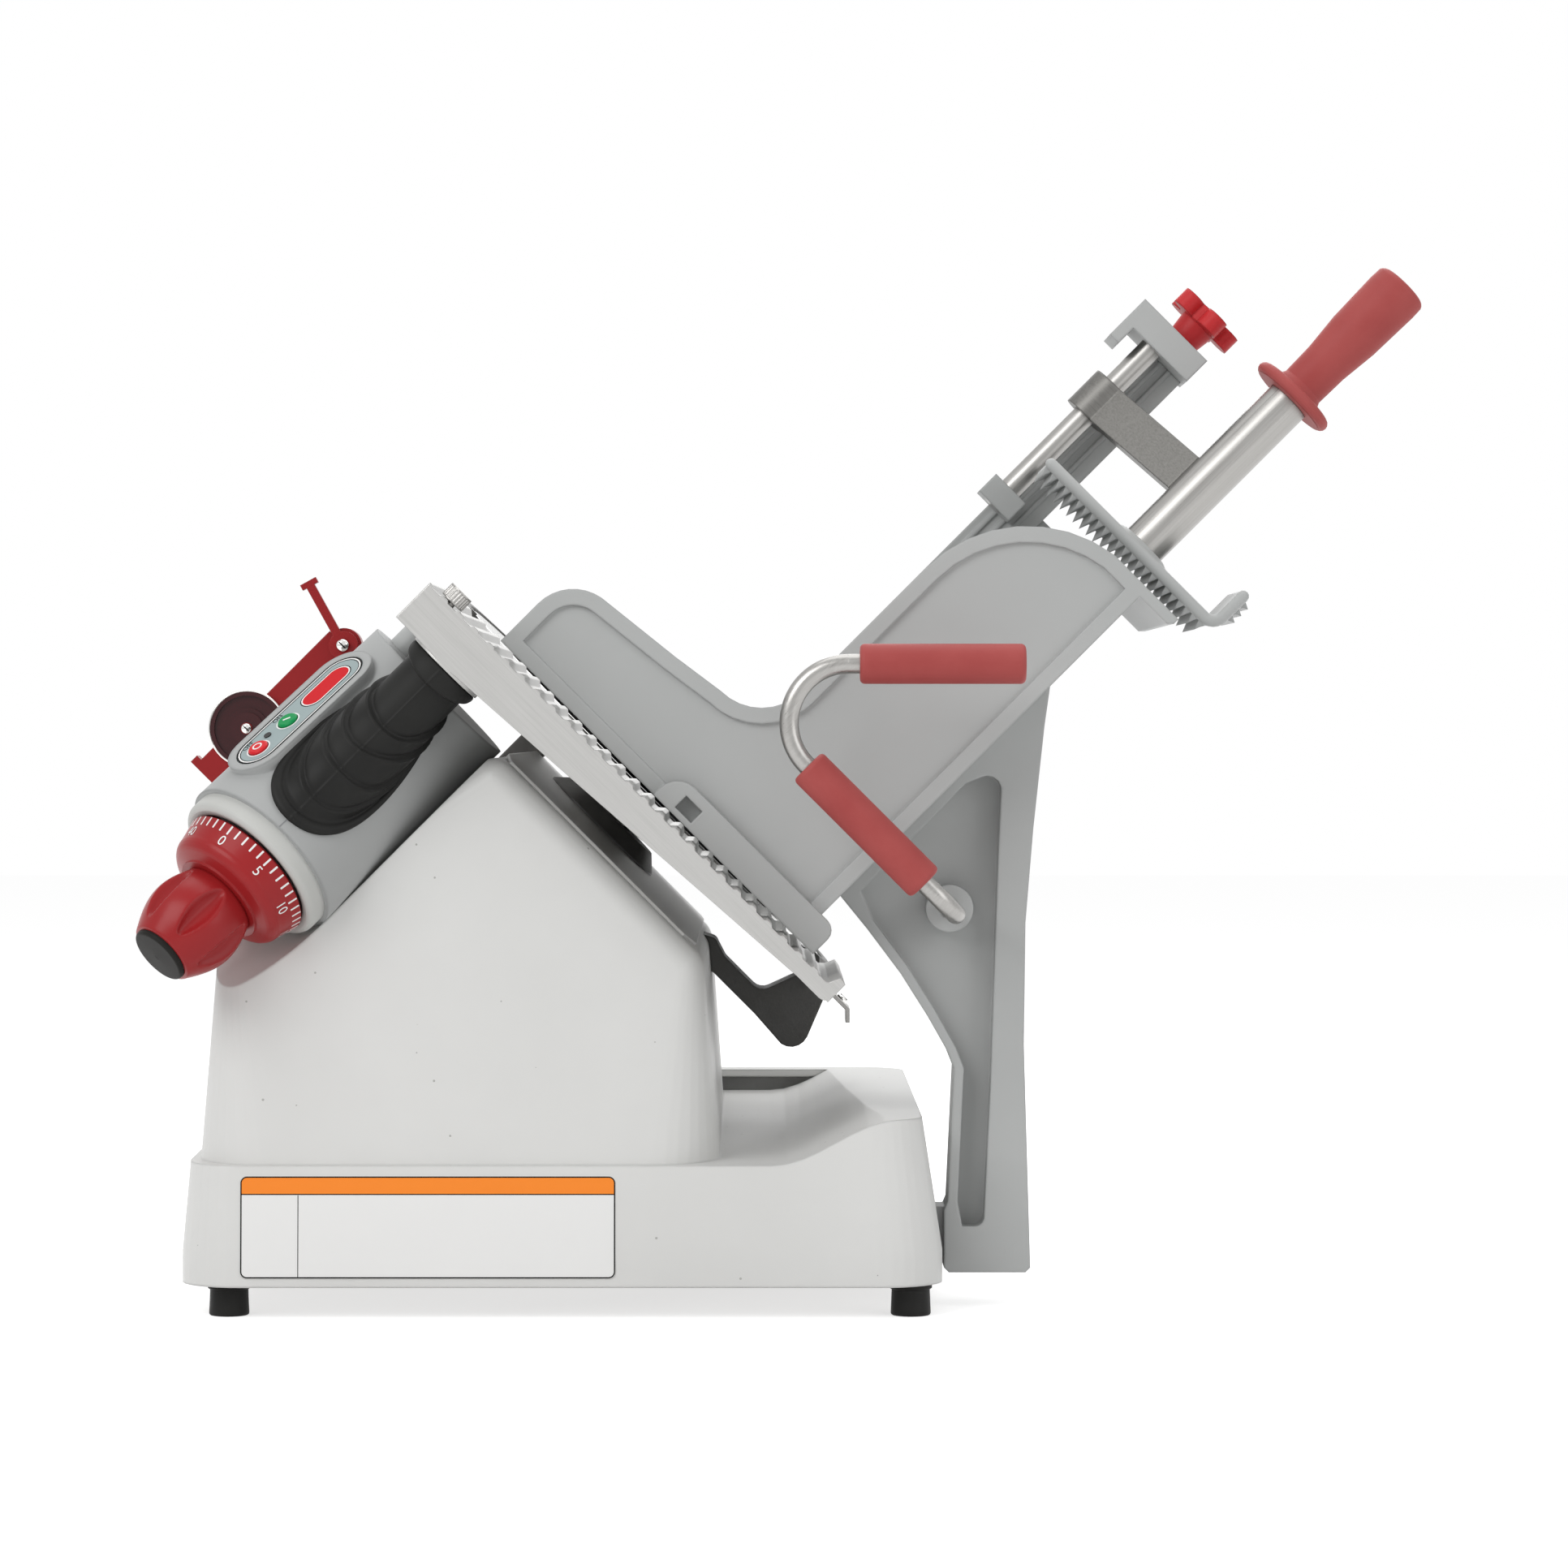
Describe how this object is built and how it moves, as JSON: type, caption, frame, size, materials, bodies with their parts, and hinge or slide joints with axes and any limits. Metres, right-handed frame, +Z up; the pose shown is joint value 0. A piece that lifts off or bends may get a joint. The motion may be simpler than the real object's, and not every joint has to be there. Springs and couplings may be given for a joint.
{
  "type": "food slicer",
  "caption": "Counter-top gravity-feed food slicer with a tilted round knife, sliding product tray, index dial, gauge plate and swing-up toothed pusher.",
  "frame": {"origin": "on the table under the middle of the whole object's box", "axes": "+X to the operator's right, +Y away from the operator along the carriage's travel, +Z up"},
  "size_m": [0.8182, 0.5512, 0.664],
  "materials": {
    "white_coat": "fine textured powder coat on an aluminium casting",
    "grey_coat": "satin grey coating on aluminium castings",
    "housing_plastic": "satin moulded",
    "ring_plastic": "satin moulded",
    "red_plastic": "satin gloss moulded",
    "black_rubber": "matt moulded",
    "black_plastic": "satin",
    "stainless": "brushed",
    "gauge_alloy": "clear anodised",
    "dark_cast": "dark smooth casting",
    "knife_steel": "ground and polished",
    "inner_steel": "machined",
    "bronze": "machined",
    "panel_film": "satin film",
    "green_button": "satin film",
    "red_button": "satin film",
    "lamp_lens": "smoked lens",
    "maroon_plastic": "gloss moulded"
  },
  "bodies": {
    "base": {"base_housing": "white_coat", "bottom_cover": "inner_steel", "feet": "black_rubber", "index_housing": "housing_plastic", "panel_plate": "panel_film", "run_lamp": "lamp_lens", "dial_ring": "ring_plastic", "gauge_bush": "bronze", "switch_block": "black_plastic", "cord_gland": "black_plastic", "motor_body": "grey_coat", "motor_bracket": "inner_steel", "bearing_housing": "dark_cast", "shaft_bearings": "inner_steel", "drive_belt": "black_rubber", "ring_guard": "dark_cast", "guard_post": "dark_cast", "guard_plate": "stainless", "knife_cover": "gauge_alloy", "carriage_rod": "inner_steel", "rod_blocks": "grey_coat", "guide_rail": "inner_steel", "sharpener_frame": "red_plastic", "gauge_boot": "black_rubber"},
    "index_dial": {"dial_drum": "red_plastic", "index_knob": "red_plastic", "knob_cap": "black_plastic", "index_shaft": "inner_steel"},
    "gauge": {"gauge_plate": "gauge_alloy", "gauge_arm": "inner_steel", "gauge_pin": "grey_coat"},
    "gauge_thumbscrew": {"knurled_knob": "stainless"},
    "knife": {"knife": "knife_steel", "knife_hub": "inner_steel", "knife_shaft": "inner_steel", "knife_pulley": "gauge_alloy"},
    "motor": {"motor_rotor": "inner_steel", "motor_pulley": "gauge_alloy"},
    "start": {"start_button": "green_button"},
    "stop": {"stop_button": "red_button"},
    "sharpener_arm": {"sharpener_lever": "red_plastic"},
    "sharpener_disc": {"sharpener_wheel": "maroon_plastic"},
    "carriage": {"tray": "grey_coat", "far_rail": "grey_coat", "rail_bracket": "grey_coat", "pusher_rod": "stainless", "carriage_leg": "grey_coat", "slide_block": "grey_coat", "slide_bushes": "bronze", "handle_tube": "stainless", "handle_grips": "red_plastic"},
    "roller": {"guide_roller": "black_plastic"},
    "rail_knob": {"star_knob": "red_plastic"},
    "pusher": {"pusher_arm": "stainless", "pusher_tube": "stainless", "pusher_grip": "red_plastic", "toothed_plate": "grey_coat"}
  },
  "joints": [
    {"name": "carriage_slide", "type": "slide", "parent": "base", "child": "carriage", "axis": [0, 1, 0], "range_m": [0, 0.295]},
    {"name": "roller_roll", "type": "hinge", "parent": "carriage", "child": "roller", "pos_m": [0.00226, -0.11544, 0.0513], "axis": [1, 0, 0], "range_deg": [-1600, 0]},
    {"name": "gauge_slide", "type": "slide", "parent": "base", "child": "gauge", "axis": [-0.7071, 0, -0.7071], "range_m": [0, 0.014], "deforming": ["gauge_boot"]},
    {"name": "index_turn", "type": "hinge", "parent": "base", "child": "index_dial", "pos_m": [-0.32845, -0.21444, 0.28426], "axis": [-0.6243, -0.4695, -0.6243], "range_deg": [0, 330]},
    {"name": "thumbscrew_turn", "type": "hinge", "parent": "gauge", "child": "gauge_thumbscrew", "pos_m": [-0.20754, -0.24044, 0.44336], "axis": [0.7071, 0, 0.7071], "range_deg": [0, 360]},
    {"name": "knife_spin", "type": "hinge", "parent": "base", "child": "knife", "pos_m": [-0.11632, 0.09056, 0.30971], "axis": [0.7071, 0, 0.7071], "continuous": true},
    {"name": "motor_spin", "type": "hinge", "parent": "base", "child": "motor", "pos_m": [-0.18703, -0.04444, 0.239], "axis": [0.7071, 0, 0.7071], "continuous": true},
    {"name": "start_press", "type": "slide", "parent": "base", "child": "start", "axis": [0.4006, 0.4937, -0.7719], "range_m": [0, 0.0015], "stiffness_N_per_m": 400},
    {"name": "stop_press", "type": "slide", "parent": "base", "child": "stop", "axis": [0.4006, 0.4937, -0.7719], "range_m": [0, 0.0015], "stiffness_N_per_m": 400},
    {"name": "sharpener_lever_swing", "type": "hinge", "parent": "base", "child": "sharpener_arm", "pos_m": [-0.30441, 0.09956, 0.42144], "axis": [0, 1, 0], "range_deg": [0, 40]},
    {"name": "sharpener_wheel_spin", "type": "hinge", "parent": "base", "child": "sharpener_disc", "pos_m": [-0.36946, 0.09656, 0.36487], "axis": [0, 1, 0], "continuous": true},
    {"name": "rail_knob_turn", "type": "hinge", "parent": "carriage", "child": "rail_knob", "pos_m": [0.26552, 0.02656, 0.62791], "axis": [0.7071, 0, 0.7071], "range_deg": [0, 360]},
    {"name": "pusher_swing", "type": "hinge", "parent": "carriage", "child": "pusher", "pos_m": [0.204, 0.01056, 0.58195], "axis": [-0.7071, 0, -0.7071], "range_deg": [0, 70]}
  ],
  "couplings": [
    {"joint": "roller_roll", "follows": "carriage_slide", "rad_per_m": -90.909},
    {"joint": "index_turn", "follows": "gauge_slide", "rad_per_m": 398.93},
    {"joint": "motor_spin", "follows": "knife_spin", "ratio": 3.5}
  ]
}
